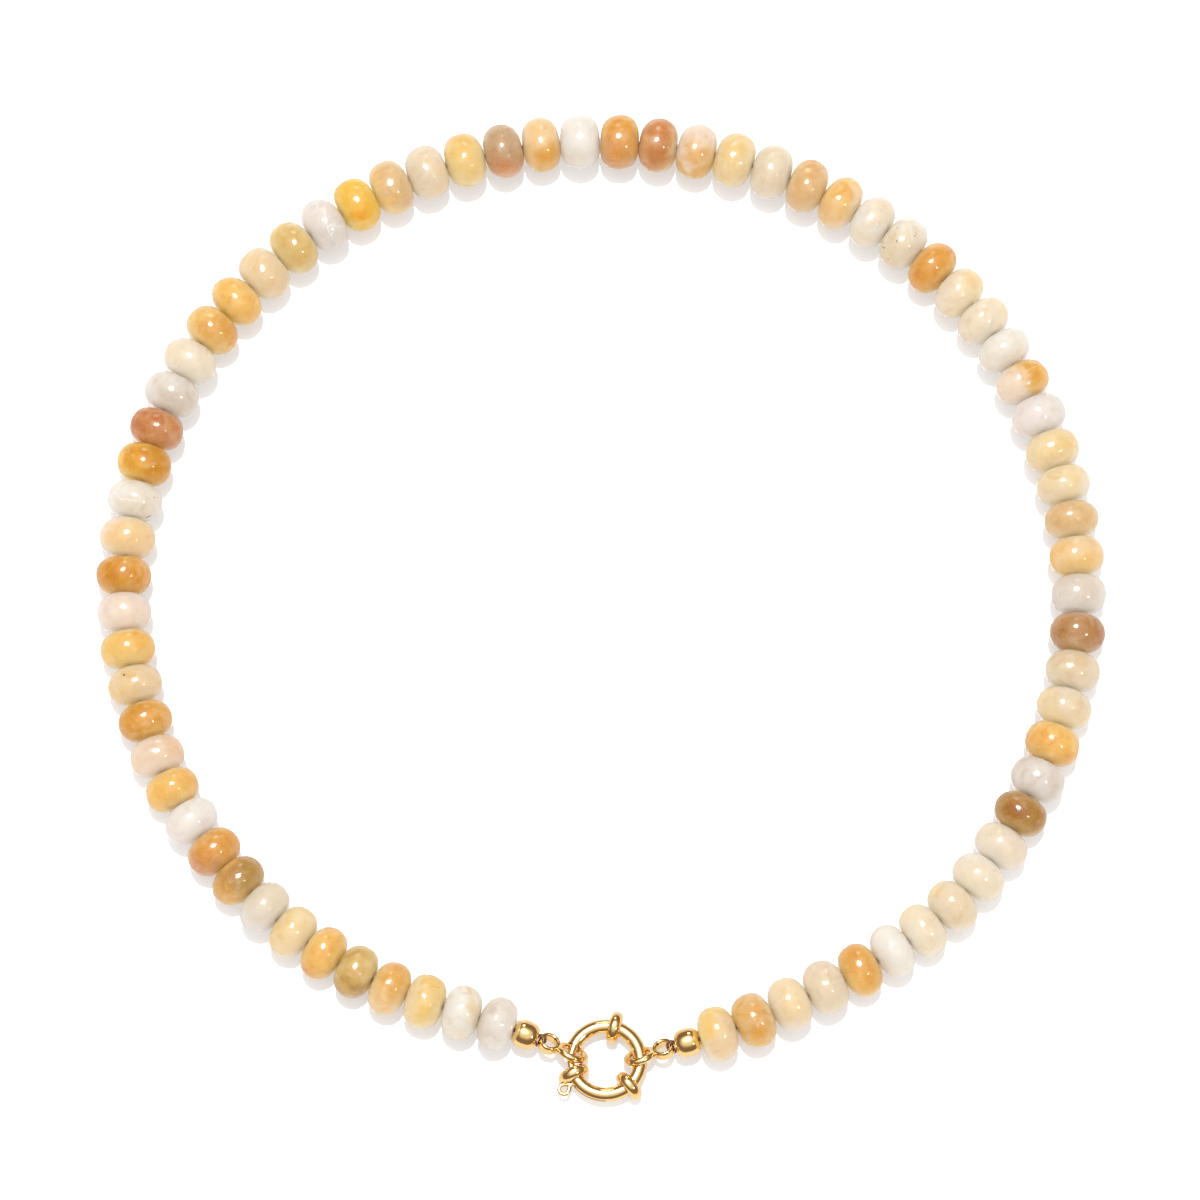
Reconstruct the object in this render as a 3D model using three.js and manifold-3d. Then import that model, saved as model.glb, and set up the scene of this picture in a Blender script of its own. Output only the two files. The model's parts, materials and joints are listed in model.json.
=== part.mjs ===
// A string of smooth stone beads closed by a gold ring clasp, lying in a round loop on a flat surface.
// Millimetres, +Z up. The surface is z = 0, the clasp is at the front (-Y), and the loop runs from
// the clasp up the left side (-X), over the back and down the right side.

import * as THREE from 'three';
import { mergeVertices } from 'three/addons/utils/BufferGeometryUtils.js';
import Module from 'manifold-3d';

const wasm = await Module();
wasm.setup();

// Beads
const beadCount = 72;
const beadDiameter = 8;
const beadThickness = 5.25;
const beadEndDiameter = 4.4;
const beadShoulder = 1.5;
const beadPlay = 0.3;

// Facets: sides of the round pieces, and steps along the bent wires
const beadSides = 12;
const ballSides = 14;
const ringSides = 16;
const collarSides = 12;
const tubeSides = 8;
const wireSides = 6;
const loopSteps = 11;

// Thread
const threadDiameter = 0.6;
const loopThreadDiameter = 0.4;
const loopThreadDepth = 0.85;
const threadClearance = 0.13;

// End balls
const ballDiameter = 4.2;
const ballLength = 3.4;
const ballBore = 1.9;
const ballRim = 0.1;
const ballToBead = 0.12;
const ballToRing = 0.25;

// Connectors: a band ring for the thread and a big wire ring round the clasp's tube, soldered together.
// Leans are degrees from upright: the band ring's axis leans to the back, the big ring to the front.
const bandRingDiameter = 3.2;
const bandRingWall = 0.6;
const bandRingHeight = 1.5;
const bandRingLean = 33;
const bigRingClearance = 0.45;
const bigRingWire = 0.84;
const bigRingLean = 31;
const solderDepth = 0.4;

// Clasp: angles are degrees round its ring, counted from +X towards +Y
const claspDiameter = 12;
const tubeDiameter = 2.08;
const boreClearance = 0.24;
const tongueDiameter = 1.2;
const collarDiameter = 4.7;
const collarWire = 1.8;
const fullTurn = 360;
const tubeStart = 199;
const tubeEnd = 154 + fullTurn;
const mouthToCollar = 5;
const collarAngles = [75, tubeStart + mouthToCollar, 312];
const tongueStart = 146;
const tongueEnd = 222;
const leverTravel = 50;
const boreEndPlay = 6;

// Finger loop of the clasp's tongue
const leverWire = 0.5;
const leverAngle = 215;
const leverTurn = 2;
const leverReach = 2.2;
const leverWidth = 1.9;
const slotClearance = 0.22;

// Half of the thread's end loop, from where the strands part to past its far side:
// along is a share of its reach along the string, rise a share of its half height
const threadLoopTable = [
  { along: 1, rise: 0.35 },
  { along: 0.45, rise: 1 },
  { along: -0.5, rise: 1 },
  { along: -1, rise: 0.3 },
  { along: -1, rise: -0.1 },
];

// Half of the finger loop: along is a share of its length beyond the neck, across of its half width
const fingerLoopTable = [
  { along: 0, across: 0 },
  { along: 0.35, across: 0.75 },
  { along: 0.7, across: 1 },
  { along: 1, across: 0.4 },
  { along: 1, across: -0.1 },
];

// The loop's route seen from above, clockwise from the clasp's centre. Its shape stays as chosen
// and its length follows the pieces that lie along it.
const routePoints = [
  [0.8, -71.8],
  [-7.5, -69.4],
  [-14.9, -66.7],
  [-30.4, -61.5],
  [-44.3, -53.1],
  [-55.6, -41.4],
  [-63.7, -27.5],
  [-68.8, -0.8],
  [-59.3, 31.5],
  [-35.0, 55.0],
  [-3.6, 64.3],
  [29.1, 58.1],
  [55.1, 38.0],
  [68.0, 8.3],
  [67.0, -19.8],
  [51.1, -49.0],
  [22.0, -66.3],
  [10.5, -69.9],
];

const gold = new THREE.MeshStandardMaterial({ color: 0xe0b768, roughness: 0.15, metalness: 1 });
const goldSpring = new THREE.MeshStandardMaterial({ color: 0xc99a4c, roughness: 0.25, metalness: 1 });
const stoneLeft = new THREE.MeshStandardMaterial({ color: 0xc98a45, roughness: 0.12, metalness: 0 });
const stoneRight = new THREE.MeshStandardMaterial({ color: 0xdcae74, roughness: 0.12, metalness: 0 });

const up = new THREE.Vector3(0, 0, 1);
const beadRadius = beadDiameter / 2;
const beadPitch = beadThickness + beadPlay;
const threadRadius = threadDiameter / 2;
const loopThreadRadius = loopThreadDiameter / 2;
const tubeRadius = tubeDiameter / 2;
const tongueRadius = tongueDiameter / 2;
const boreRadius = tongueRadius + boreClearance;
const claspRadius = claspDiameter / 2 - tubeRadius;
const bandRingRadius = bandRingDiameter / 2;
const bigRingHole = tubeRadius + bigRingClearance;
const bigRingRadius = bigRingHole + bigRingWire;
const claspHeight = Math.max(collarDiameter / 2, bigRingRadius);

// Distances along the route from the clasp's centre, the same on both sides
const toBandRing = claspRadius + bigRingRadius + bandRingRadius - solderDepth;
const toBallFace = toBandRing + bandRingRadius + ballToRing;
const toBall = toBallFace + ballLength / 2;
const toFirstBead = toBallFace + ballLength + ballToBead + beadThickness / 2;

// The closed route, scaled to the length that its pieces need
const loopLength = 2 * toFirstBead + (beadCount - 1) * beadPitch;
const chosenRoute = closedRoute(1);
const route = closedRoute(loopLength / chosenRoute.getLength());

function closedRoute(scale) {
  const points = routePoints.map(([x, y]) => new THREE.Vector3(x * scale, y * scale, 0));
  const curve = new THREE.CatmullRomCurve3(points, true, 'centripetal');
  curve.arcLengthDivisions = 1600;
  return curve;
}

// Height of the string's axis: a bead's radius, falling to the clasp's beyond the last bead
function heightAt(distance) {
  const fromClasp = Math.min(distance, loopLength - distance);
  const share = (fromClasp - claspRadius) / (toFirstBead - claspRadius);
  return THREE.MathUtils.lerp(claspHeight, beadRadius, THREE.MathUtils.clamp(share, 0, 1));
}

function pointAt(distance) {
  const point = route.getPointAt(distance / loopLength);
  point.z = heightAt(distance);
  return point;
}

// Frame of a piece whose X runs along the given direction, turned about it by a lean in degrees
function frameAlong(direction, lean) {
  const along = direction.clone().normalize();
  const side = new THREE.Vector3().crossVectors(up, along).normalize();
  const top = new THREE.Vector3().crossVectors(along, side);
  const frame = new THREE.Matrix4().makeBasis(along, side, top);
  return frame.multiply(new THREE.Matrix4().makeRotationX(THREE.MathUtils.degToRad(lean)));
}

// Solids: closed meshes with shared vertices, for joining and cutting
function toSolid(geometry) {
  const bare = geometry.index ? geometry.clone() : geometry;
  bare.deleteAttribute('normal');
  bare.deleteAttribute('uv');
  const welded = mergeVertices(bare, 1e-5);
  return new wasm.Manifold(new wasm.Mesh({
    numProp: 3,
    vertProperties: new Float32Array(welded.attributes.position.array),
    triVerts: new Uint32Array(welded.index.array),
  }));
}

function toGeometry(solid) {
  const mesh = solid.getMesh();
  const geometry = new THREE.BufferGeometry();
  geometry.setAttribute('position', new THREE.BufferAttribute(mesh.vertProperties, 3));
  geometry.setIndex(new THREE.BufferAttribute(mesh.triVerts, 1));
  geometry.computeVertexNormals();
  return geometry;
}

function joined(solids) {
  return solids.reduce((whole, next) => whole.add(next));
}

function polygon(radius, sides) {
  const corners = Array.from({ length: sides }, (_, i) => {
    const angle = (i + 0.5) * 2 * Math.PI / sides;
    return new THREE.Vector2(radius * Math.cos(angle), radius * Math.sin(angle));
  });
  return new THREE.Shape(corners);
}

// Round wire along a curve
function wire(path, radius, sides, steps) {
  const options = { extrudePath: path, steps, curveSegments: 1 };
  return toSolid(new THREE.ExtrudeGeometry(polygon(radius, sides), options));
}

// A smooth curve through points given as [x, y, z]
function curveThrough(points) {
  return new THREE.CatmullRomCurve3(points.map((p) => new THREE.Vector3(...p)));
}

// An arc round the clasp's ring, between two angles in degrees
class RingArc extends THREE.Curve {
  constructor(radius, from, to) {
    super();
    this.radius = radius;
    this.from = THREE.MathUtils.degToRad(from);
    this.to = THREE.MathUtils.degToRad(to);
  }

  getPoint(t) {
    const angle = THREE.MathUtils.lerp(this.from, this.to, t);
    return new THREE.Vector3(this.radius * Math.cos(angle), this.radius * Math.sin(angle), 0);
  }
}

function arcWire(radius, from, to) {
  const degreesPerStep = 12;
  const steps = Math.ceil((to - from) / degreesPerStep);
  return wire(new RingArc(claspRadius, from, to), radius, tubeSides, steps);
}

// One bead along X: flat ends, sloping shoulders and a widest stretch with flat facets
// below, above and on both sides
function beadGeometry() {
  const cornerShare = 1 / Math.cos(Math.PI / beadSides);
  const widest = beadThickness - 2 * beadShoulder;
  const bead = new THREE.ExtrudeGeometry(polygon(beadEndDiameter / 2 * cornerShare, beadSides), {
    depth: widest,
    bevelThickness: beadShoulder,
    bevelSize: (beadDiameter - beadEndDiameter) / 2,
    bevelSegments: 1,
    curveSegments: 1,
  });
  bead.translate(0, 0, -widest / 2);
  return bead.rotateY(Math.PI / 2);
}

// The bead with the given number, counted from the left end, in its place on the string
function beadSolid(number) {
  const distance = toFirstBead + number * beadPitch;
  const direction = route.getTangentAt(distance / loopLength);
  const frame = frameAlong(direction, 0).setPosition(pointAt(distance));
  return toSolid(beadGeometry().applyMatrix4(frame));
}

// Thread that runs straight from point to point
function threadThrough(points) {
  const path = new THREE.CurvePath();
  for (let i = 1; i < points.length; i += 1) {
    path.add(new THREE.LineCurve3(points[i - 1], points[i]));
  }
  return wire(path, threadRadius, wireSides, points.length - 1);
}

// Everything that lies between the clasp and the string on one side: side is 1 on the left, -1 on the right
function endLayout(side) {
  const at = (distance) => pointAt(side > 0 ? distance : loopLength - distance);
  const claspCentre = at(0);
  const towardsRing = at(claspRadius).sub(claspCentre).setZ(0).normalize();
  const bigRing = claspCentre.clone().addScaledVector(towardsRing, claspRadius);
  const heading = at(toBandRing).sub(bigRing).normalize();
  const bandRing = bigRing.clone().addScaledVector(heading, toBandRing - claspRadius);
  const ballHeading = at(toFirstBead).sub(bandRing).normalize();
  const alongBall = (distance) => bandRing.clone().addScaledVector(ballHeading, distance - toBandRing);
  return { bigRing, bandRing, heading, ballHeading, alongBall, firstBead: at(toFirstBead) };
}

// The thread's end: straight through the ball, then a loop round the near wall of the band ring
function endThread(side) {
  const layout = endLayout(side);
  const wallCentre = toBandRing + bandRingRadius - bandRingWall / 2;
  const reach = bandRingWall / 2 + threadClearance + loopThreadRadius;
  const rise = bandRingHeight / 2 + threadClearance + loopThreadRadius;
  const frame = frameAlong(layout.ballHeading, side * bandRingLean).setPosition(layout.alongBall(wallCentre));
  const strands = [1, -1].map((turn) => {
    const loop = threadLoopTable.map((row) => [row.along * reach, 0, turn * row.rise * rise]);
    const path = curveThrough([[reach + loopThreadDepth, 0, 0], ...loop]);
    return wire(path, loopThreadRadius, wireSides, loopSteps).transform(frame.elements);
  });
  const parting = layout.alongBall(wallCentre + reach + loopThreadDepth / 2);
  const straight = threadThrough([parting, layout.alongBall(toBall + ballLength / 2), layout.firstBead]);
  return joined([...strands, straight]);
}

// Half of the string: its beads, the thread through them and the thread's end at the clasp
function stringGeometry(side) {
  const leftCount = Math.floor(beadCount / 2);
  const [first, end] = side > 0 ? [0, leftCount] : [leftCount, beadCount];
  const beads = [];
  const centres = [];
  for (let number = first; number < end; number += 1) {
    beads.push(beadSolid(number));
    centres.push(pointAt(toFirstBead + number * beadPitch));
  }
  return toGeometry(joined([...beads, threadThrough(centres), endThread(side)]));
}

// A ball with flat drilled ends, about its Y axis
function ballGeometry() {
  const arcSteps = 6;
  const ballRadius = ballDiameter / 2;
  const half = ballLength / 2;
  const flatRadius = Math.max(Math.sqrt(ballRadius ** 2 - half ** 2), ballBore / 2 + ballRim);
  const edgeAngle = Math.atan2(half, flatRadius);
  const outline = [new THREE.Vector2(ballBore / 2, -half)];
  for (let i = 0; i <= arcSteps; i += 1) {
    const angle = THREE.MathUtils.lerp(-edgeAngle, edgeAngle, i / arcSteps);
    outline.push(new THREE.Vector2(ballRadius * Math.cos(angle), ballRadius * Math.sin(angle)));
  }
  outline.push(new THREE.Vector2(ballBore / 2, half), outline[0].clone());
  return new THREE.LatheGeometry(outline, ballSides);
}

// A flat ring with bevelled edges, about its Y axis
function bandGeometry(outerRadius, wall, height) {
  const bevelShare = 0.3;
  const bevel = Math.min(wall, height) * bevelShare;
  const inner = outerRadius - wall;
  const half = height / 2;
  const outline = [
    [inner, -half],
    [outerRadius - bevel, -half],
    [outerRadius, bevel - half],
    [outerRadius, half - bevel],
    [outerRadius - bevel, half],
    [inner, half],
    [inner, -half],
  ];
  return new THREE.LatheGeometry(outline.map(([x, y]) => new THREE.Vector2(x, y)), ringSides);
}

// Both rings of a connector, with the big ring's centre as origin and the band ring's centre along X
function connectorGeometry(side) {
  const centreRadius = bigRingHole + bigRingWire / 2;
  const big = new THREE.TorusGeometry(centreRadius, bigRingWire / 2, tubeSides, ringSides);
  big.rotateX(THREE.MathUtils.degToRad(90 - side * bigRingLean));
  const band = bandGeometry(bandRingRadius, bandRingWall, bandRingHeight);
  band.rotateX(THREE.MathUtils.degToRad(90 + side * bandRingLean));
  band.translate(toBandRing - claspRadius, 0, 0);
  return toGeometry(joined([toSolid(big), toSolid(band)]));
}

// Turns geometry made about X and Z = 0 to an angle round the clasp's ring
function roundClasp(angle, radius) {
  const turn = new THREE.Matrix4().makeRotationZ(THREE.MathUtils.degToRad(angle));
  return turn.multiply(new THREE.Matrix4().makeTranslation(radius, 0, 0));
}

function collarSolid(angle) {
  const centreRadius = (collarDiameter - collarWire) / 2;
  const collar = new THREE.TorusGeometry(centreRadius, collarWire / 2, wireSides, collarSides);
  collar.rotateX(Math.PI / 2);
  return toSolid(collar.applyMatrix4(roundClasp(angle, claspRadius)));
}

// The slot on the outside of the tube, in which the finger loop's wire slides
function slotSolid() {
  const width = leverWire + 2 * slotClearance;
  const play = width / 2 / claspRadius;
  const from = THREE.MathUtils.degToRad(leverAngle) - play;
  const to = THREE.MathUtils.degToRad(leverAngle + leverTravel) + play;
  const shape = new THREE.Shape();
  shape.absarc(0, 0, claspRadius + tubeDiameter, from, to, false);
  shape.absarc(0, 0, claspRadius, to, from, true);
  const slot = new THREE.ExtrudeGeometry(shape, { depth: width, bevelEnabled: false, curveSegments: 8 });
  slot.translate(0, 0, -width / 2);
  return toSolid(slot);
}

function claspTubeGeometry() {
  const openEnd = 10;
  const tube = arcWire(tubeRadius, tubeStart, tubeEnd);
  const springBore = arcWire(boreRadius, tubeStart - openEnd, tongueEnd + leverTravel + boreEndPlay);
  const tipBore = arcWire(boreRadius, tongueStart + fullTurn - boreEndPlay, tubeEnd + openEnd);
  const body = joined([tube, ...collarAngles.map(collarSolid)]);
  return toGeometry(body.subtract(springBore).subtract(tipBore).subtract(slotSolid()));
}

// The sliding tongue and its teardrop finger loop, bent from one wire
function claspLeverGeometry() {
  const tongue = arcWire(tongueRadius, tongueStart, tongueEnd);
  const neck = tubeRadius + leverWire / 2;
  const length = leverReach - leverWire;
  const halfWidth = (leverWidth - leverWire) / 2;
  const frame = roundClasp(leverAngle, claspRadius);
  const bend = THREE.MathUtils.degToRad(leverTurn);
  const strands = [1, -1].map((turn) => {
    const loop = fingerLoopTable.map((row) => {
      const point = new THREE.Vector2(row.along * length, turn * row.across * halfWidth);
      point.rotateAround(new THREE.Vector2(), bend);
      return [neck + point.x, point.y, 0];
    });
    const path = curveThrough([[0, 0, 0], ...loop]);
    return wire(path, leverWire / 2, wireSides, loopSteps).transform(frame.elements);
  });
  return toGeometry(joined([tongue, ...strands]));
}

function piece(name, geometry, material) {
  const mesh = new THREE.Mesh(geometry, material);
  mesh.name = name;
  return mesh;
}

function placeAlong(mesh, direction, position) {
  mesh.quaternion.setFromRotationMatrix(frameAlong(direction, 0));
  mesh.position.copy(position);
  return mesh;
}

const necklace = new THREE.Group();

for (const [side, place, stone] of [[1, 'left', stoneLeft], [-1, 'right', stoneRight]]) {
  const layout = endLayout(side);
  const string = piece(`string_${place}`, stringGeometry(side), stone);
  const ball = piece(`end_ball_${place}`, ballGeometry().rotateZ(-Math.PI / 2), gold);
  const connector = piece(`connector_${place}`, connectorGeometry(side), gold);
  placeAlong(ball, layout.ballHeading, layout.alongBall(toBall));
  placeAlong(connector, layout.heading, layout.bigRing);
  necklace.add(string, ball, connector);
}

const clasp = new THREE.Group();
clasp.position.copy(pointAt(0));
clasp.add(piece('clasp_tube', claspTubeGeometry(), gold));
clasp.add(piece('clasp_lever', claspLeverGeometry(), goldSpring));
necklace.add(clasp);

// The origin is the middle of the loop's box, on the surface
const middle = new THREE.Box3().setFromObject(necklace, true).getCenter(new THREE.Vector3());
necklace.position.set(-middle.x, -middle.y, 0);

const group = new THREE.Group();
group.add(necklace);
export default group;
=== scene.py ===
import json
import math
import random
from bisect import bisect_right

import bmesh
import bpy
from mathutils import Matrix, Vector, noise


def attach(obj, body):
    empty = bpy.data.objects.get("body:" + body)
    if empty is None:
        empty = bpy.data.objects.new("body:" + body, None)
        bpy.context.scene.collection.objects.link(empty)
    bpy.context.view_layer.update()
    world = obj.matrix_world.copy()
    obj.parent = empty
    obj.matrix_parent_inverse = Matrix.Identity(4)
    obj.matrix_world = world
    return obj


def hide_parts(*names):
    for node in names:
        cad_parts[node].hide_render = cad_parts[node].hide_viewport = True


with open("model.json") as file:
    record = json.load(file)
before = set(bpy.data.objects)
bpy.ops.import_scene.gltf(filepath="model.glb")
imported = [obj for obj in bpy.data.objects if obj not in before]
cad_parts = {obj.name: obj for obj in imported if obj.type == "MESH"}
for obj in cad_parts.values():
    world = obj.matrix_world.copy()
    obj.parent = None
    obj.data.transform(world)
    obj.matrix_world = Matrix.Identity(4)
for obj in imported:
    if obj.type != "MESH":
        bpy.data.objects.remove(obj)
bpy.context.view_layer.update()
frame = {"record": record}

mm = 0.001
up = Vector((0, 0, 1))
dice = random.Random(72)

# Plans are in millimetres and degrees. Meshes are scaled to metres when they are made.

stringPlan = {
    "beads": 72,
    "pitch": 5.55,
    "firstBead": 16.485,  # along the route from the clasp's centre
    "beadRadius": 4.0,
    "route": [  # seen from above, clockwise from the clasp
        (0.8, -71.8), (-7.5, -69.4), (-14.9, -66.7), (-30.4, -61.5), (-44.3, -53.1), (-55.6, -41.4),
        (-63.7, -27.5), (-68.8, -0.8), (-59.3, 31.5), (-35.0, 55.0), (-3.6, 64.3), (29.1, 58.1),
        (55.1, 38.0), (68.0, 8.3), (67.0, -19.8), (51.1, -49.0), (22.0, -66.3), (10.5, -69.9),
    ],
}

claspPlan = {
    "radius": 4.96,
    "tube": 1.04,
    "bore": 0.84,
    "tubeAngles": (199.0, 514.0),
    "collarAngles": (75.0, 204.0, 312.0),
    "collarRadius": 1.45,
    "collarWire": 0.9,
    "slotAngles": (209.6, 270.4),
    "slotTurn": 26.9,
    "tongue": 0.6,
    "tongueAngles": (146.0, 222.0),
    "fingerAngle": 215.0,
    "fingerTurn": 2.0,
    "fingerWire": 0.3,
    "neck": 1.29,
    "fingerLength": 1.7,
    "fingerHalfWidth": 0.7,
    "fingerSide": ((0.0, 0.12), (0.3, 0.72), (0.68, 1.0), (0.95, 0.55)),  # parts of both
    "fingerTip": 1.02,
}

connectorPlan = {
    "bigRadius": 2.33,
    "bigWire": 1.08,
    "bigHole": 1.42,
    "bigLean": 31.0,
    "bandRadius": 1.6,
    "bandWall": 0.6,
    "bandWidth": 1.5,
    "bandLean": 33.0,
    "bandRoundness": 3.2,
    "solder": 0.4,  # how far the two rings sink into each other
    "solderRadius": 0.42,
    "solderStretch": (1.1, 1.0, 1.15),
}


# Route

def catmullRom(before, start, end, after, share):
    # centripetal, so that the curve stays close to its points
    first, middle, last = [max((b - a).length, 1e-6) ** 0.5
                           for a, b in ((before, start), (start, end), (end, after))]
    slopeStart = (start - before) / first - (end - before) / (first + middle) + (end - start) / middle
    slopeEnd = (end - start) / middle - (after - start) / (middle + last) + (after - end) / last
    slopeStart *= middle
    slopeEnd *= middle
    square = -3 * start + 3 * end - 2 * slopeStart - slopeEnd
    cube = 2 * start - 2 * end + slopeStart + slopeEnd
    return start + slopeStart * share + square * share ** 2 + cube * share ** 3


def smoothLine(points, stepsPerSpan, closed=False):
    if closed:
        stops = [points[-1], *points, points[0], points[1]]
    else:
        stops = [2 * points[0] - points[1], *points, 2 * points[-1] - points[-2]]
    line = []
    for i in range(len(stops) - 3):
        for step in range(stepsPerSpan):
            line.append(catmullRom(*stops[i:i + 4], step / stepsPerSpan))
    if not closed:
        line.append(points[-1].copy())
    return line


class Route:  # the closed line of the string, read by distance from the clasp's centre
    def __init__(self, points, length, start):
        line = smoothLine([Vector((x, y, 0)) for x, y in points], 90, closed=True)
        line.append(line[0].copy())
        distances = [0.0]
        for a, b in zip(line, line[1:]):
            distances.append(distances[-1] + (b - a).length)
        scale = length / distances[-1]
        self.length = length
        self.line = [(p - line[0]) * scale + start for p in line]
        self.distances = [d * scale for d in distances]

    def flatPoint(self, distance):
        distance %= self.length
        i = min(bisect_right(self.distances, distance) - 1, len(self.line) - 2)
        share = (distance - self.distances[i]) / (self.distances[i + 1] - self.distances[i])
        return self.line[i].lerp(self.line[i + 1], share)

    def point(self, distance):
        place = self.flatPoint(distance)
        fromClasp = min(distance, self.length - distance)
        toBead = stringPlan["firstBead"] - claspPlan["radius"]
        share = min(max((fromClasp - claspPlan["radius"]) / toBead, 0), 1)
        place.z = claspHeight + (stringPlan["beadRadius"] - claspHeight) * share
        return place

    def direction(self, distance):
        return (self.flatPoint(distance + 0.05) - self.flatPoint(distance - 0.05)).normalized()


claspJoint = frame["record"]["behaviour"]["joints"][0]
claspCentre = Vector(claspJoint["pos_m"]) / mm
claspHeight = claspCentre.z
loopLength = 2 * stringPlan["firstBead"] + (stringPlan["beads"] - 1) * stringPlan["pitch"]
route = Route(stringPlan["route"], loopLength, Vector((claspCentre.x, claspCentre.y, 0)))


def frameAlong(direction, place, lean=0.0):  # X along the direction, Z as far up as it goes
    along = direction.normalized()
    side = up.cross(along).normalized()
    turn = Matrix((along, side, along.cross(side))).transposed().to_4x4()
    return Matrix.Translation(place) @ turn @ Matrix.Rotation(math.radians(lean), 4, "X")


class EndLayout:  # what lies between the clasp and the string on one side
    def __init__(self, side):
        self.sign = 1 if side == "left" else -1
        self.toBandRing = (claspPlan["radius"] + connectorPlan["bigRadius"]
                           + connectorPlan["bandRadius"] - connectorPlan["solder"])
        towards = self.point(claspPlan["radius"]) - self.point(0)
        towards.z = 0
        self.bigRing = claspCentre + towards.normalized() * claspPlan["radius"]
        self.heading = (self.point(self.toBandRing) - self.bigRing).normalized()
        self.bandRing = self.bigRing + self.heading * (self.toBandRing - claspPlan["radius"])
        self.ballHeading = (self.point(stringPlan["firstBead"]) - self.bandRing).normalized()

    def point(self, distance):
        return route.point(distance if self.sign > 0 else loopLength - distance)

    def alongBall(self, distance):
        return self.bandRing + self.ballHeading * (distance - self.toBandRing)


# Mesh making

class Clay:  # vertices, faces and, per vertex, what the materials read
    def __init__(self):
        self.vertices = []
        self.faces = []
        self.traits = {}

    def add(self, vertices, faces, turn=None, **traits):
        start = len(self.vertices)
        self.vertices += [turn @ v for v in vertices] if turn else vertices
        self.faces += [[start + i for i in face] for face in faces]
        for name, values in traits.items():
            self.traits.setdefault(name, []).extend(values)

    def piece(self, name, finish, body, nodes, sharpAngle=50):
        mesh = bpy.data.meshes.new(name)
        mesh.from_pydata([v * mm for v in self.vertices], [], self.faces)
        for trait, values in self.traits.items():
            kind = "FLOAT_COLOR" if len(values[0]) == 4 else "FLOAT_VECTOR"
            attribute = mesh.attributes.new(trait, kind, "POINT")
            attribute.data.foreach_set("color" if kind == "FLOAT_COLOR" else "vector",
                                       [number for value in values for number in value])
        shaped = bmesh.new()
        shaped.from_mesh(mesh)
        bmesh.ops.recalc_face_normals(shaped, faces=shaped.faces)
        shaped.to_mesh(mesh)
        shaped.free()
        mesh.shade_smooth()
        mesh.set_sharp_from_angle(angle=math.radians(sharpAngle))
        mesh.materials.append(finish)
        made = bpy.data.objects.new(name, mesh)
        bpy.context.scene.collection.objects.link(made)
        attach(made, body)
        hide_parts(*nodes)
        return made


def gridFaces(rows, columns, closedRows=True, closedColumns=True):
    faces = []
    for row in range(rows if closedRows else rows - 1):
        below = (row + 1) % rows
        for column in range(columns if closedColumns else columns - 1):
            right = (column + 1) % columns
            faces.append([row * columns + column, row * columns + right,
                          below * columns + right, below * columns + column])
    return faces


def turned(outline, steps):  # the points of an outline of (radius, height), copied round Z
    vertices = []
    for step in range(steps):
        turn = 2 * math.pi * step / steps
        vertices += [Vector((r * math.cos(turn), r * math.sin(turn), z)) for r, z in outline]
    return vertices


def lathe(outline, steps):  # a closed outline makes a ring
    return turned(outline, steps), gridFaces(steps, len(outline))


def latheDrop(outline, steps):  # an open outline from pole to pole makes a drop
    vertices = turned(outline, steps)
    rows = len(outline)
    faces = gridFaces(steps, rows, closedColumns=False)
    for row, end in ((0, -1), (rows - 1, 1)):
        vertices.append(Vector((0, 0, outline[row][1] + end * 0.01)))
        tip = len(vertices) - 1
        faces += [[s * rows + row, (s + 1) % steps * rows + row, tip] for s in range(steps)]
    return vertices, faces


def superEllipse(halfWidth, halfHeight, roundness, steps):
    points = []
    for step in range(steps):
        turn = 2 * math.pi * (step + 0.5) / steps
        c, s = math.cos(turn), math.sin(turn)
        points.append((halfWidth * math.copysign(abs(c) ** (2 / roundness), c),
                       halfHeight * math.copysign(abs(s) ** (2 / roundness), s)))
    return points


def ring(outerRadius, wall, width, roundness, steps=72, profileSteps=28):
    section = superEllipse(wall / 2, width / 2, roundness, profileSteps)
    return lathe([(outerRadius - wall / 2 + x, z) for x, z in section], steps)


def sweep(line, radius, sides):  # a round wire along a line of points, its ends domed
    vertices = []
    side = None
    last = len(line) - 1
    for i, point in enumerate(line):
        along = (line[min(i + 1, last)] - line[max(i - 1, 0)]).normalized()
        if side is None:
            side = along.orthogonal().normalized()
        side = (side - along * side.dot(along)).normalized()
        other = along.cross(side)
        for j in range(sides):
            turn = 2 * math.pi * j / sides
            vertices.append(point + (side * math.cos(turn) + other * math.sin(turn)) * radius)
    faces = gridFaces(len(line), sides, closedRows=False)
    for end, inner in ((0, 1), (last, last - 1)):
        outward = (line[end] - line[inner]).normalized()
        tip = len(vertices)
        vertices.append(line[end] + outward * radius * 0.6)
        faces += [[end * sides + j, end * sides + (j + 1) % sides, tip] for j in range(sides)]
    return vertices, faces


# Shader making

class Value:  # one output of a node, so that shader maths reads as plain expressions
    def __init__(self, tree, socket):
        self.tree = tree
        self.socket = socket

    def output(self, name):  # another output of the same node
        return Value(self.tree, self.socket.node.outputs[name])

    def maths(self, operation, first, second):
        return self.tree.node("Math", {"operation": operation}, {0: first, 1: second})

    def __add__(self, other):
        return self.maths("ADD", self, other)

    def __sub__(self, other):
        return self.maths("SUBTRACT", self, other)

    def __mul__(self, other):
        return self.maths("MULTIPLY", self, other)

    def __rsub__(self, other):
        return self.maths("SUBTRACT", other, self)

    __radd__ = __add__
    __rmul__ = __mul__


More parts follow.
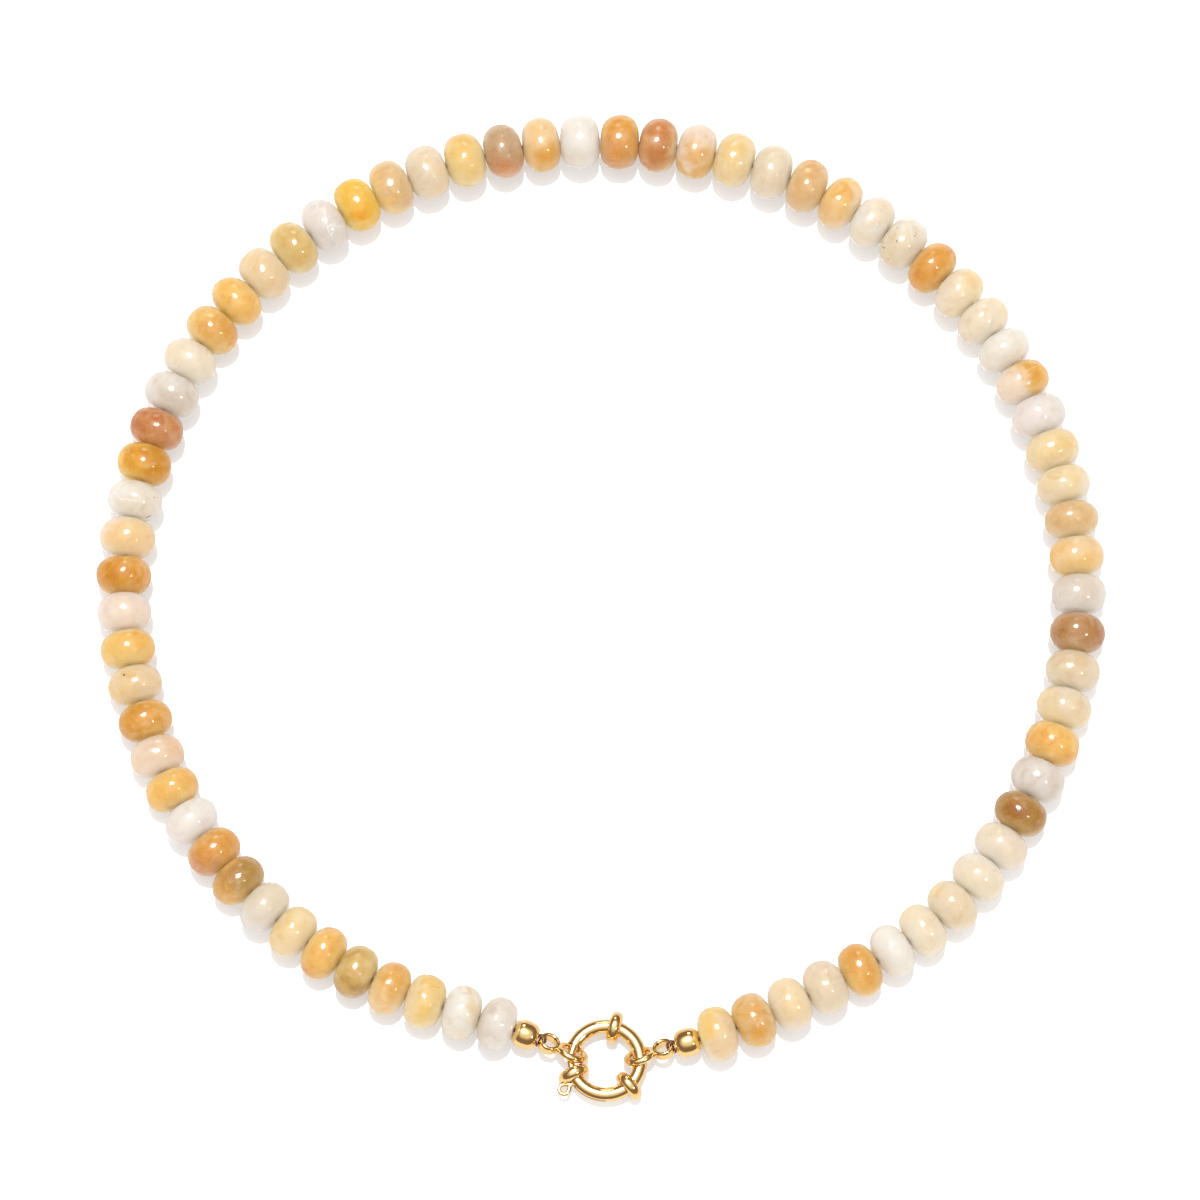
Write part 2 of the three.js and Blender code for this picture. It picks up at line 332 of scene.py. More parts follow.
class ShaderTree:
    def __init__(self, owner):
        owner.use_nodes = True
        self.nodes = owner.node_tree.nodes
        self.links = owner.node_tree.links
        self.nodes.clear()

    def node(self, kind, settings=None, sockets=None, output=0):
        made = self.nodes.new("ShaderNode" + kind)
        for name, value in (settings or {}).items():
            setattr(made, name, value)
        for name, value in (sockets or {}).items():
            if isinstance(value, Value):
                self.links.new(value.socket, made.inputs[name])
            else:
                made.inputs[name].default_value = value
        return Value(self, made.outputs[output]) if made.outputs else made

    def mixColours(self, share, first, second, blend="MIX"):
        return self.node("Mix", {"data_type": "RGBA", "blend_type": blend},
                         {0: share, 6: first, 7: second}, output=2)

    def ramp(self, value, low, high):  # 0 up to low, 1 from high, smooth between
        return self.node("MapRange", {"interpolation_type": "SMOOTHSTEP", "clamp": True},
                         {"Value": value, "From Min": low, "From Max": high})

    def noise(self, place, scale, detail=3.0, roughness=0.5, distortion=0.0, output=0):
        return self.node("TexNoise", None, {"Vector": place, "Scale": scale, "Detail": detail,
                                            "Roughness": roughness, "Distortion": distortion},
                         output=output)


def linear(colour):
    return (*[((c + 0.055) / 1.055) ** 2.4 if c > 0.04 else c / 12.92 for c in colour], 1.0)


stoneFinish = {
    "toneShare": 0.85,  # part of a tone that the stone gives, the studio's light does the rest
    "roughness": 0.025,
    "subsurface": 1.0,
    "depth": 16.0,  # millimetres that light travels in the stone
    "depthByColour": (1.0, 0.92, 0.84),
    "forward": 0.5,
    "refraction": 1.56,
    "cloudScale": 0.85,  # patterns per bead radius, here and below
    "wispScale": 1.9,
    "milk": 0.14,
    "milkEdge": (0.50, 0.74),
    "milkTone": (0.90, 0.87, 0.82),
    "depths": 0.24,
    "depthsEdge": (0.50, 0.28),
    "grain": 0.07,
    "grainScale": 15.0,
    "grainTone": (0.90, 0.88, 0.84),
    "crack": 0.35,
    "crackScale": 0.9,
    "crackEdge": (0.024, 0.004),
    "crackTone": (1.0, 0.99, 0.97),
    "speck": 0.85,
    "speckScale": 5.2,
    "speckEdge": (0.68, 0.74),
    "speckTone": (0.34, 0.20, 0.11),
    "paintedEdgeGlow": 0.35,  # painted glow: how much lighter a tone gets towards the drilled sides, lighting the shaded grooves between beads
    "paintedBaseGlow": 0.30,  # painted glow: how much lighter a tone gets on the lower front side, where the light would leave the stone again
}


def makeStone(name):
    material = bpy.data.materials.new(name)
    tree = ShaderTree(material)
    # the two tone attributes hold the stone's own tones with a painted glow, lighter on the lower front
    # side and towards the drilled sides
    body = tree.node("Attribute", {"attribute_name": "toneBody"})
    deep = tree.node("Attribute", {"attribute_name": "toneDeep"})
    place = tree.node("Attribute", {"attribute_name": "cloudPlace"}, output=1)
    traits = tree.node("SeparateColor", None,
                       {0: tree.node("Attribute", {"attribute_name": "traits"})})
    mixShare, specks, crack = (traits.output(i) for i in range(3))

    clouds = tree.noise(place, stoneFinish["cloudScale"], 2.5, 0.5, 0.5)
    wisps = tree.noise(place, stoneFinish["wispScale"], 3.5, 0.55, 1.0)
    grain = tree.noise(place, stoneFinish["grainScale"], 2.0, 0.6)
    share = tree.ramp(mixShare + (clouds - 0.5) * 1.5, 0.22, 0.78)
    colour = tree.mixColours(share, body, deep)

    # milky wisps and darker, clearer depths
    milk = tree.ramp(wisps, *stoneFinish["milkEdge"]) * stoneFinish["milk"]
    colour = tree.mixColours(milk, colour, linear(stoneFinish["milkTone"]))
    depths = tree.ramp(wisps, *stoneFinish["depthsEdge"]) * stoneFinish["depths"]
    colour = tree.mixColours(depths, colour, deep, "MULTIPLY")
    colour = tree.mixColours(tree.ramp(grain, 0.45, 0.75) * stoneFinish["grain"], colour,
                             linear(stoneFinish["grainTone"]))

    # a healed crack catches the light, specks of iron are dark
    bentPlace = tree.node("VectorMath", {"operation": "ADD"}, {
        0: place, 1: tree.node("VectorMath", {"operation": "SCALE"}, {
            0: tree.noise(place, 2.6, 2.0, output=1), "Scale": 0.35})})
    distance = tree.node("TexVoronoi", {"feature": "DISTANCE_TO_EDGE"},
                         {"Vector": bentPlace, "Scale": stoneFinish["crackScale"]})
    line = tree.ramp(distance, *stoneFinish["crackEdge"]) * stoneFinish["crack"]
    patch = tree.ramp(tree.noise(place, 1.1, 1.0), 0.48, 0.60)
    colour = tree.mixColours(line * patch * crack, colour, linear(stoneFinish["crackTone"]))
    speckNoise = tree.noise(place, stoneFinish["speckScale"], 2.0, 0.4)
    speckSpots = tree.ramp(speckNoise, *stoneFinish["speckEdge"])
    speckMask = speckSpots * tree.ramp(clouds, 0.45, 0.60) * specks
    colour = tree.mixColours(speckMask * stoneFinish["speck"], colour, linear(stoneFinish["speckTone"]))

    roughness = tree.noise(place, 2.4, 4.0, 0.6) * 0.02 + (stoneFinish["roughness"] - 0.01)
    bump = tree.node("Bump", None, {"Strength": 0.04, "Distance": 0.04 * mm,
                                    "Height": tree.noise(place, 2.0, 2.0, 0.5)})
    shader = tree.node("BsdfPrincipled", None, {
        "Base Color": colour,
        "Roughness": roughness,
        "IOR": stoneFinish["refraction"],
        "Subsurface Weight": stoneFinish["subsurface"],
        "Subsurface Radius": stoneFinish["depthByColour"],
        "Subsurface Scale": stoneFinish["depth"] * mm,
        "Subsurface Anisotropy": stoneFinish["forward"],
        "Normal": bump,
    })
    tree.node("OutputMaterial", None, {"Surface": shader})
    return material


goldFinish = {
    "colour": (0.985, 0.855, 0.62),
    "shade": (0.965, 0.81, 0.55),
    "roughness": 0.09,
    "springRoughness": 0.07,
    "tarnishScale": 900.0,  # patterns per metre
    "polishScale": 2600.0,
}


def makeGold(name, roughness):
    material = bpy.data.materials.new(name)
    tree = ShaderTree(material)
    place = tree.node("TexCoord", None, None, output=3)
    tarnish = tree.noise(place, goldFinish["tarnishScale"], 4.0, 0.6)
    polish = tree.noise(place, goldFinish["polishScale"], 3.0, 0.6)
    colour = tree.mixColours(tree.ramp(tarnish, 0.35, 0.70), linear(goldFinish["colour"]),
                             linear(goldFinish["shade"]))
    bump = tree.node("Bump", None, {"Strength": 0.06, "Distance": 0.03 * mm, "Height": polish})
    shader = tree.node("BsdfPrincipled", None, {
        "Base Color": colour,
        "Metallic": 1.0,
        "Roughness": tree.ramp(polish, 0.3, 0.8) * 0.08 + (roughness - 0.03),
        "Normal": bump,
    })
    tree.node("OutputMaterial", None, {"Surface": shader})
    return material


threadFinish = {
    # painted shade for the hollows between the twisted strands, then the strands' own colour
    "paintedHollowShade": (0.34, 0.19, 0.10),
    "strands": (0.55, 0.36, 0.20),
    "fibreScale": 900.0,
    "roughness": 0.5,
}


def makeThread(name):
    material = bpy.data.materials.new(name)
    tree = ShaderTree(material)
    place = tree.node("TexCoord", None, None, output=3)
    fibre = tree.node("TexWave", {"bands_direction": "DIAGONAL"},
                      {"Vector": place, "Scale": threadFinish["fibreScale"], "Distortion": 1.5})
    # painted shade: the wave bands darken the hollows between the twisted strands
    fibreShade = fibre.output(1)
    colour = tree.mixColours(fibreShade, linear(threadFinish["paintedHollowShade"]), linear(threadFinish["strands"]))
    bump = tree.node("Bump", None, {"Strength": 0.4, "Distance": 0.05 * mm, "Height": fibreShade})
    shader = tree.node("BsdfPrincipled", None, {
        "Base Color": colour,
        "Roughness": threadFinish["roughness"],
        "Normal": bump,
    })
    tree.node("OutputMaterial", None, {"Surface": shader})
    return material


stone = makeStone("polished_stone")
gold = makeGold("polished_gold", goldFinish["roughness"])
springGold = makeGold("spring_gold", goldFinish["springRoughness"])
thread = makeThread("twisted_thread")
print("materials made")


# Beads

beadShape = {
    "thickness": 5.5,
    "thicknessChange": 0.035,
    "thicknessByNine": (0.966, 0.977, 1.022, 1.014, 1.016, 0.984, 1.010, 1.005),
    "radiusChange": 0.006,
    "sideRoundness": (2.9, 3.6),  # high keeps the bead wide down to its drilled sides
    "rimRoundness": 2.0,
    "hole": 0.45,
    "funnel": 0.35,  # depth at which the hole has narrowed
    "narrowed": 0.8,
    "wobble": 0.035,
    "wobbleScale": 1.3,
    "wobbleAlong": 0.6,  # part of the wobble that the drilled sides take
    "tilt": 1.6,
    "steps": 52,
    "profileSteps": 26,
}

# Stone tones: the body of the stone and its deeper, richer part
stoneTones = {
    "frost": ((0.93, 0.89, 0.83), (0.91, 0.84, 0.76)),
    "mist": ((0.855, 0.815, 0.775), (0.80, 0.74, 0.68)),
    "blush": ((0.92, 0.85, 0.82), (0.90, 0.79, 0.74)),
    "shell": ((0.93, 0.80, 0.71), (0.91, 0.74, 0.62)),
    "cream": ((0.93, 0.83, 0.72), (0.91, 0.78, 0.64)),
    "butter": ((0.94, 0.79, 0.61), (0.92, 0.74, 0.52)),
    "linen": ((0.87, 0.78, 0.67), (0.83, 0.71, 0.57)),
    "sand": ((0.90, 0.76, 0.61), (0.86, 0.68, 0.50)),
    "peach": ((0.94, 0.75, 0.57), (0.93, 0.67, 0.44)),
    "apricot": ((0.94, 0.69, 0.40), (0.90, 0.58, 0.26)),
    "nectar": ((0.92, 0.72, 0.45), (0.90, 0.66, 0.34)),
    "lemon": ((0.91, 0.75, 0.51), (0.88, 0.68, 0.38)),
    "saffron": ((0.95, 0.69, 0.29), (0.91, 0.58, 0.18)),
    "honey": ((0.85, 0.62, 0.34), (0.84, 0.56, 0.22)),
    "amber": ((0.84, 0.59, 0.31), (0.79, 0.49, 0.20)),
    "resin": ((0.78, 0.54, 0.20), (0.69, 0.38, 0.10)),
    "moss": ((0.82, 0.68, 0.44), (0.77, 0.58, 0.28)),
    "olive": ((0.67, 0.53, 0.31), (0.62, 0.42, 0.17)),
    "tan": ((0.84, 0.68, 0.50), (0.81, 0.58, 0.35)),
    "taupe": ((0.71, 0.59, 0.46), (0.67, 0.50, 0.35)),
    "rust": ((0.75, 0.52, 0.34), (0.70, 0.43, 0.24)),
    "cocoa": ((0.70, 0.54, 0.37), (0.64, 0.45, 0.27)),
}

# The beads in order from the left end of the clasp, charted one by one. / clouds two tones, > puts the
# second one at the base, | parts the bead in two, * adds dark specks and ! a bright crack.
beadChart = """
    mist frost/sand butter/nectar honey/peach moss/olive apricot/amber nectar/butter linen/mist
    olive/honey rust/amber frost/blush honey/apricot shell resin/honey sand/nectar* nectar/apricot
    shell/blush amber/resin peach/shell frost!* resin/saffron rust mist cream
    nectar/honey apricot/honey sand/butter moss/lemon blush/mist! saffron nectar/tan sand/linen
    lemon/nectar taupe>rust peach/honey frost amber/rust rust/tan shell>honey butter
    linen/cream amber/tan peach/apricot frost/cream frost*/linen resin/amber butter/cream cream/butter
    frost shell|honey blush/mist butter cream/butter tan/sand apricot/peach mist
    cocoa linen butter/linen apricot/amber mist olive shell/cream frost/cream
    linen/butter cream/butter shell/frost honey/apricot sand/linen shell/butter tan/honey sand/nectar
""".split()


def beadOutline(thickness, radius, sideRoundness):
    hole = beadShape["hole"]
    steps = beadShape["profileSteps"]
    outline = []
    for step in range(steps + 1):
        turn = math.pi * (step / steps - 0.5)
        c, s = math.cos(turn), math.sin(turn)
        across = max(radius * c ** (2 / sideRoundness), hole)
        along = thickness / 2 * math.copysign(abs(s) ** (2 / beadShape["rimRoundness"]), s)
        if across > hole or not outline or step == steps:
            outline.append((across, along))
    inside = thickness / 2 - beadShape["funnel"]
    return [*outline, (hole * beadShape["narrowed"], inside), (hole * beadShape["narrowed"], -inside)]


def readTones(entry):
    specks, crack = "*" in entry, "!" in entry
    entry = entry.replace("*", "").replace("!", "")
    way = next((sign for sign in "/>|" if sign in entry), "/")
    names = entry.split(way)
    first, second = stoneTones[names[0]], stoneTones[names[-1]]
    body = first[0]
    deep = second[0] if len(names) > 1 else second[1]
    return body, deep, way, len(names) > 1, specks, crack


def shiftTone(colour, warmth, light):
    toned = linear([min(max(c * light + warmth * w, 0), 1) for c, w in zip(colour, (0.4, 0, -0.6))])
    return [c * stoneFinish["toneShare"] for c in toned[:3]]


lightWay = Vector((0.15, -0.85, -0.35)).normalized()  # painted glow: the lower front side of a bead, where the light would leave it again, is painted lighter


def beadTraits(entry, places, edges):  # places are in bead radii, edges near 1 away from the drilled sides and lower towards them, for a painted glow there
    body, deep, way, twoTones, specks, crack = readTones(entry)
    seedPlace = Vector([dice.uniform(-90, 90) for _ in range(3)])
    warmth, light = dice.uniform(-0.015, 0.015), dice.uniform(0.985, 1.01)
    bodyTone, deepTone = shiftTone(body, warmth, light), shiftTone(deep, warmth, light)
    base = {"/": Vector([dice.uniform(-1, 1) for _ in range(3)]),
            ">": Vector((dice.uniform(-0.3, 0.5), -0.8, -0.5)),
            "|": Vector((0.75, 0.6, 0.1))}[way].normalized()
    spread = {"/": 0.35 if twoTones else 0.2, ">": 0.62, "|": 1.0}[way]
    middle = 0.5 if twoTones else 0.42
    # painted glow: both tones are raised to these powers, lighter on the lower front side and towards the
    # drilled sides
    paintedGlowPowers = [edge - max(p.dot(lightWay) - 0.5, 0) * 2 * stoneFinish["paintedBaseGlow"]
              for p, edge in zip(places, edges)]
    shares = [min(max(middle + spread * p.dot(base), 0), 1) for p in places]
    return {
        "toneBody": [(*[c ** power for c in bodyTone], 1.0) for power in paintedGlowPowers],
        "toneDeep": [(*[c ** power for c in deepTone], 1.0) for power in paintedGlowPowers],
        "cloudPlace": [tuple(p + seedPlace) for p in places],
        "traits": [(share, float(specks), float(crack), 1.0) for share in shares],
    }


def addBead(clay, entry, distance, thickness):
    radius = stringPlan["beadRadius"] * (1 - dice.uniform(0, beadShape["radiusChange"]))
    vertices, faces = lathe(beadOutline(thickness, radius, dice.uniform(*beadShape["sideRoundness"])),
                            beadShape["steps"])
    wobblePlace = Vector([dice.uniform(-50, 50) for _ in range(3)])
    # painted glow: powers below 1 lighten the tones towards the drilled sides, where the grooves between
    # beads are shaded
    edges = [1 - stoneFinish["paintedEdgeGlow"] * abs(2 * v.z / thickness) ** 3 for v in vertices]
    shaped = []
    for v in vertices:
        out = v.normalized()
        swell = noise.noise(out * beadShape["wobbleScale"] + wobblePlace) * beadShape["wobble"]
        swell *= min(math.hypot(v.x, v.y) / radius, 1)
        shaped.append(v + Vector((v.x, v.y, v.z * beadShape["wobbleAlong"])) * swell)
    tiltTurn = dice.uniform(0, 2 * math.pi)
    tilt = Matrix.Rotation(math.radians(dice.gauss(0, beadShape["tilt"])), 4,
                           Vector((math.cos(tiltTurn), math.sin(tiltTurn), 0)))
    standing = frameAlong(route.direction(distance), Vector()) @ Matrix.Rotation(math.pi / 2, 4, "Y") @ tilt
    shaped = [standing @ v for v in shaped]
    place = route.point(distance)
    place.z = -min(v.z for v in shaped)
    top = max(v.z for v in shaped) + place.z
    if top > 2 * stringPlan["beadRadius"]:
        squeeze = 2 * stringPlan["beadRadius"] / top
        shaped = [Vector((v.x, v.y, v.z * squeeze)) for v in shaped]
        place.z *= squeeze
    traits = beadTraits(entry, [v / radius for v in shaped], edges)
    clay.add([v + place for v in shaped], faces, **traits)


def beadNumbers(side):
    half = stringPlan["beads"] // 2
    return range(half) if side == "left" else range(half, stringPlan["beads"])


def makeBeads(side):
    numbers = beadNumbers(side)
    shares = [beadShape["thicknessByNine"][number // 9]
              * (1 + dice.uniform(-1, 1) * beadShape["thicknessChange"]) for number in numbers]
    average = sum(shares) / len(shares)
    clay = Clay()
    start = stringPlan["firstBead"] + (numbers[0] - 0.5) * stringPlan["pitch"]
    for number, share in zip(numbers, shares):
        room = stringPlan["pitch"] * share / average
        thickness = room * beadShape["thickness"] / stringPlan["pitch"]
        addBead(clay, beadChart[number], start + room / 2, thickness)
        start += room
    clay.piece("beads_" + side, stone, "necklace", ["string_" + side])


threadPlan = {"radius": 0.3, "loopRadius": 0.2, "loopDepth": 0.85, "clearance": 0.13}


def makeThreadPiece(side):
    layout = EndLayout(side)
    wallCentre = layout.toBandRing + connectorPlan["bandRadius"] - connectorPlan["bandWall"] / 2
    reach = connectorPlan["bandWall"] / 2 + threadPlan["clearance"] + threadPlan["loopRadius"]
    rise = connectorPlan["bandWidth"] / 2 + threadPlan["clearance"] + threadPlan["loopRadius"]
    standing = frameAlong(layout.ballHeading, layout.alongBall(wallCentre),
                          layout.sign * connectorPlan["bandLean"])
    clay = Clay()
    loop = [(reach + threadPlan["loopDepth"], 0), (reach, 0.35 * rise), (0.45 * reach, rise),
            (-0.5 * reach, rise), (-reach, 0.3 * rise), (-reach, -0.3 * rise),
            (-0.5 * reach, -rise), (0.45 * reach, -rise), (reach, -0.35 * rise),
            (reach + threadPlan["loopDepth"], 0)]
    line = smoothLine([Vector((x, 0, z)) for x, z in loop], 6)
    clay.add(*sweep(line, threadPlan["loopRadius"], 12), turn=standing)
    straight = [layout.alongBall(wallCentre + reach + threadPlan["loopDepth"] / 2)]
    straight += [route.point(stringPlan["firstBead"] + number * stringPlan["pitch"])
                 for number in beadNumbers(side)[::layout.sign]]
    clay.add(*sweep(straight, threadPlan["radius"], 12))
    clay.piece("thread_" + side, thread, "necklace", ["string_" + side])


for side in ("left", "right"):
    makeBeads(side)
    makeThreadPiece(side)
print("beads strung")


# Gold ends

ballPlan = {
    "radius": 2.1,
    "length": 3.4,
    "bore": 0.95,
    "rim": 0.06,
    "funnel": 0.3,
    "narrowed": 0.9,
    "toRing": 0.25,
    "roundness": 2.5,
    "reach": 2.04,  # where the ball would close to a point if it weren't cut off
    "profileSteps": 26,
}


def ballOutline():
    radius, half, bore = ballPlan["radius"], ballPlan["length"] / 2, ballPlan["bore"]
    steps = ballPlan["profileSteps"]
    outline = []
    for step in range(steps + 1):
        along = half * math.sin(math.pi * (step / steps - 0.5))
        fall = abs(along / ballPlan["reach"]) ** ballPlan["roundness"]
        outline.append((radius * (1 - fall) ** (1 / ballPlan["roundness"]), along))
    inside = [(bore, half - ballPlan["rim"]), (bore * ballPlan["narrowed"], half - ballPlan["funnel"])]
    return [*outline, *inside, *[(r, -z) for r, z in reversed(inside)]]


def makeBall(side, layout):
    centre = layout.toBandRing + connectorPlan["bandRadius"] + ballPlan["toRing"] + ballPlan["length"] / 2
    standing = frameAlong(layout.ballHeading, layout.alongBall(centre))
    clay = Clay()
    clay.add(*lathe(ballOutline(), 64), turn=standing @ Matrix.Rotation(math.pi / 2, 4, "Y"))
    clay.piece("ball_" + side, gold, "necklace", ["end_ball_" + side])


def makeConnector(side, layout):
    plan = connectorPlan
    standing = frameAlong(layout.heading, layout.bigRing)
    faceY = Matrix.Rotation(math.pi / 2, 4, "X")
    big = Matrix.Rotation(math.radians(-layout.sign * plan["bigLean"]), 4, "X") @ faceY
    band = Matrix.Rotation(math.radians(90 + layout.sign * plan["bandLean"]), 4, "X") @ faceY
    reach = layout.toBandRing - claspPlan["radius"]
    clay = Clay()
    clay.add(*ring(plan["bigHole"] + plan["bigWire"], plan["bigWire"], plan["bigWire"], 2.0),
             turn=standing @ big)
    clay.add(*ring(plan["bandRadius"], plan["bandWall"], plan["bandWidth"], plan["bandRoundness"]),
             turn=standing @ Matrix.Translation((reach, 0, 0)) @ band)
    drop = [(plan["solderRadius"] * math.cos(a), plan["solderRadius"] * math.sin(a))
            for a in [math.pi * (step / 12 - 0.5) for step in range(1, 12)]]
    solder = (Matrix.Translation((plan["bigRadius"] - plan["solder"] / 2, 0, 0))
              @ Matrix.Diagonal((*plan["solderStretch"], 1)))
    clay.add(*latheDrop(drop, 24), turn=standing @ solder)
    clay.piece("connector_rings_" + side, gold, "necklace", ["connector_" + side])


for side in ("left", "right"):
    layout = EndLayout(side)
    makeBall(side, layout)
    makeConnector(side, layout)
print("gold ends made")


# Clasp

def claspPoint(angle, outwards=0.0, height=0.0):
    a = math.radians(angle)
    reach = claspPlan["radius"] + outwards
    return claspCentre + Vector((reach * math.cos(a), reach * math.sin(a), height))


def spaced(low, high, step, marks):  # even steps from low to high that also stop at the marks
    stops = sorted({low, high, *marks})
    values = []
    for a, b in zip(stops, stops[1:]):
        count = max(1, round((b - a) / step))
        values += [a + (b - a) * i / count for i in range(count)]
    return [*values, high]


def hollowTube():
    start, end = claspPlan["tubeAngles"]
    slotStart, slotEnd = claspPlan["slotAngles"]
    turn = claspPlan["slotTurn"]
    angles = spaced(start, end, 3.5, (slotStart, slotEnd))
    turns = spaced(-turn, 360 - turn, 9, (turn,))[:-1]
    vertices = []
    for radius in (claspPlan["tube"], claspPlan["bore"]):
        for angle in angles:
            for around in turns:
                c, s = math.cos(math.radians(around)), math.sin(math.radians(around))
                vertices.append(claspPoint(angle, radius * c, radius * s))
    rows, columns = len(angles), len(turns)
    inner = rows * columns
    cells = {(r, c) for r in range(rows - 1) for c in range(columns)
             if not (slotStart <= angles[r] < slotEnd and -turn <= turns[c] < turn)}
    faces = []
    for r, c in sorted(cells):
        right = (c + 1) % columns
        corners = [r * columns + c, r * columns + right, (r + 1) * columns + right, (r + 1) * columns + c]
        faces += [corners, [inner + i for i in reversed(corners)]]
        borders = {(r - 1, c): (0, 1), (r + 1, c): (3, 2),
                   (r, (c - 1) % columns): (0, 3), (r, right): (1, 2)}
        for cell, (a, b) in borders.items():
            if cell not in cells:
                faces.append([corners[a], corners[b], inner + corners[b], inner + corners[a]])
    return vertices, faces


def makeClasp():
    clay = Clay()
    clay.add(*hollowTube())
    wire, radius = claspPlan["collarWire"], claspPlan["collarRadius"]
    section = superEllipse(wire, wire, 2.2, 28)
    for angle in claspPlan["collarAngles"]:
        standing = (Matrix.Translation(claspPoint(angle)) @ Matrix.Rotation(math.radians(angle), 4, "Z")
                    @ Matrix.Rotation(math.pi / 2, 4, "X"))
        clay.add(*lathe([(radius + x, z) for x, z in section], 64), turn=standing)
    clay.piece("clasp_ring", gold, "necklace", ["clasp_tube"])


def makeLever():
    clay = Clay()
    start, end = claspPlan["tongueAngles"]
    arc = [claspPoint(start + (end - start) * i / 40) for i in range(41)]
    clay.add(*sweep(arc, claspPlan["tongue"], 28))
    length, half = claspPlan["fingerLength"], claspPlan["fingerHalfWidth"]
    outline = [*claspPlan["fingerSide"], (claspPlan["fingerTip"], 0.0),
               *[(a, -b) for a, b in reversed(claspPlan["fingerSide"])]]
    bend = Matrix.Rotation(math.radians(claspPlan["fingerTurn"]), 2)
    inTube = Vector((-claspPlan["neck"], 0.0))
    loop = [inTube, *[bend @ Vector((a * length, b * half)) for a, b in outline], inTube]
    standing = (Matrix.Translation(claspPoint(claspPlan["fingerAngle"]))
                @ Matrix.Rotation(math.radians(claspPlan["fingerAngle"]), 4, "Z"))
    line = smoothLine([Vector((claspPlan["neck"] + p.x, p.y, 0)) for p in loop], 8)
    clay.add(*sweep(line, claspPlan["fingerWire"], 20), turn=standing)
    clay.piece("clasp_tongue", springGold, "lever", ["clasp_lever"])


makeClasp()
makeLever()
print("clasp made")


# Stage, in metres

studio = {
    "lightDistance": 1.2,
    "lampsBehind": 1.2,  # how many times farther the lamps hang that show no reflection
    "wideBehind": 500,  # degrees of width that double a lamp's distance
    "lights": [  # name, degrees right of and behind vertical, degrees wide, brightness, what it does
        ("hotPanel", -5, 12, 21, 6.0, "lights"),
        ("hotSparkle", -5, 12, 22, 21.0, "shines"),
        ("widePanel", -4, 12, 50, 0.8, "lights"),
        ("wideSparkle", -4, 12, 50, 0.8, "shines"),
        ("frontSparkle", 39, -29, 8, 20.0, "shines"),
        ("backSparkle", -3, 61, 18, 3.2, "shines"),
    ],
    "skyForStone": 1.03,
    "skyForGloss": 0.23,
    "zenith": 0.95,
    "zenithEdge": (0.55, 0.95),
    "surroundings": (1.0, 0.90, 0.77),
}

floorPlan = {  # a light table: opal acrylic, lit from below
    "rings": (0.4, 1.2, 3.0),
    "steps": 48,
    "below": 0.00002,
    "tone": (0.70, 0.69, 0.68),
    "otherTone": (0.67, 0.665, 0.66),
    "roughness": 0.03,
    "refraction": 1.49,
    "glowTone": (1.0, 0.995, 0.99),
    "glow": 0.40,
    "glowAtEdges": 0.18,
    "edges": (0.060, 0.085),  # from the middle
}

cameraPlan = {"elevation": 76.4, "distance": 1.6, "lens": 332.0, "aim": (-0.00014, 0.00123, 0.0)}


def makeLight(name, right, behind, width, brightness, task):
    sideways, back = math.tan(math.radians(right)), math.tan(math.radians(behind))
    direction = Vector((sideways, back, 1)).normalized()
    distance = studio["lightDistance"] * (1 + width / studio["wideBehind"])
    if task == "lights":
        distance *= studio["lampsBehind"]
    radius = distance * math.tan(math.radians(width / 2))
    lamp = bpy.data.lights.new(name, "AREA")
    lamp.shape = "DISK"
    lamp.size = 2 * radius
    lamp.energy = brightness * math.pi * (math.pi * radius ** 2)
    placed = bpy.data.objects.new(name, lamp)
    placed.location = direction * distance
    placed.rotation_euler = direction.to_track_quat("Z", "Y").to_euler()
    placed.visible_diffuse = task == "lights"
    placed.visible_glossy = task == "shines"
    bpy.context.scene.collection.objects.link(placed)


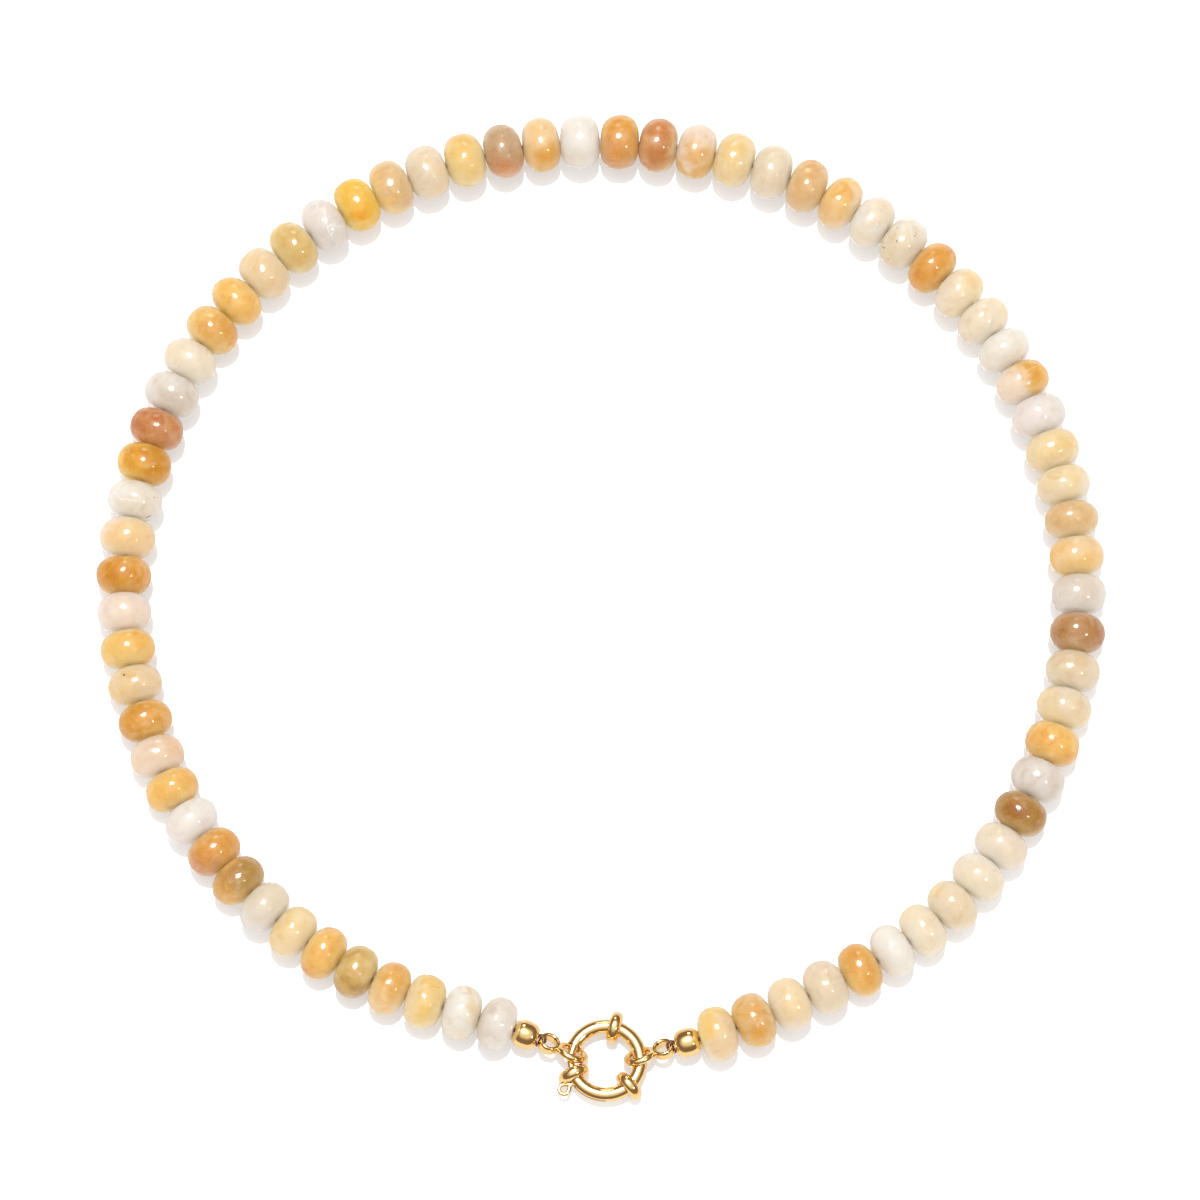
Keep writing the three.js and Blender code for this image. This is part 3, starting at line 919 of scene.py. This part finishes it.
def makeFloor():
    plan = floorPlan
    steps = plan["steps"]
    vertices = []
    for radius in plan["rings"]:
        for step in range(steps):
            turn = 2 * math.pi * step / steps
            vertices.append(Vector((radius * math.cos(turn), radius * math.sin(turn), -plan["below"])))
    vertices.append(Vector((0, 0, -plan["below"])))
    faces = gridFaces(len(plan["rings"]), steps, closedRows=False)
    faces += [[s, (s + 1) % steps, len(vertices) - 1] for s in range(steps)]
    mesh = bpy.data.meshes.new("studio_floor")
    mesh.from_pydata(vertices, [], faces)
    floorMaterial = bpy.data.materials.new("white_floor")
    tree = ShaderTree(floorMaterial)
    place = tree.node("TexCoord", None, None, output=3)
    colour = tree.mixColours(tree.noise(place, 6.0) * 0.04, linear(plan["tone"]),
                             linear(plan["otherTone"]))
    fromMiddle = tree.node("VectorMath", {"operation": "LENGTH"}, {0: place}, output=1)
    glow = tree.ramp(fromMiddle, *plan["edges"]) * plan["glowAtEdges"] + plan["glow"]
    glowColour = tree.node("VectorMath", {"operation": "SCALE"},
                           {0: linear(plan["glowTone"])[:3], "Scale": glow})
    shader = tree.node("BsdfPrincipled", None, {
        "Base Color": colour,
        "Roughness": plan["roughness"],
        "IOR": plan["refraction"],
        "Emission Color": glowColour,
        "Emission Strength": 1.0,
    })
    tree.node("OutputMaterial", None, {"Surface": shader})
    mesh.materials.append(floorMaterial)
    floor = bpy.data.objects.new("studio_floor", mesh)
    bpy.context.scene.collection.objects.link(floor)


def makeWorld():
    world = bpy.data.worlds.new("studio")
    bpy.context.scene.world = world
    tree = ShaderTree(world)
    isCamera = tree.node("LightPath")
    isGlossy = isCamera.output("Is Glossy Ray")
    direction = tree.node("SeparateXYZ", None, {0: tree.node("TexCoord", None, None, output=0)}, output=2)
    overhead = tree.ramp(direction, *studio["zenithEdge"])
    gloss = overhead * (studio["zenith"] - studio["skyForGloss"]) + studio["skyForGloss"]
    strength = gloss * isGlossy + (1 - isGlossy) * studio["skyForStone"]
    strength = strength * (1 - isCamera) + isCamera
    colour = tree.mixColours(overhead * isGlossy + (1 - isGlossy), linear(studio["surroundings"]),
                             (1.0, 1.0, 1.0, 1.0))
    shader = tree.node("Background", None, {"Color": colour, "Strength": strength})
    tree.node("OutputWorld", None, {"Surface": shader})


def makeCamera():
    a = math.radians(cameraPlan["elevation"])
    aim = Vector(cameraPlan["aim"])
    back = Vector((0, -math.cos(a), math.sin(a)))
    camera = bpy.data.cameras.new("camera")
    camera.sensor_width = 36
    camera.lens = cameraPlan["lens"]
    camera.clip_start, camera.clip_end = 0.01, 20
    placed = bpy.data.objects.new("camera", camera)
    placed.location = aim + back * cameraPlan["distance"]
    placed.rotation_euler = back.to_track_quat("Z", "Y").to_euler()
    bpy.context.scene.collection.objects.link(placed)
    bpy.context.scene.camera = placed


makeFloor()
makeWorld()
for light in studio["lights"]:
    makeLight(*light)
makeCamera()
bpy.context.scene.view_settings.view_transform = "Standard"
print("stage set")
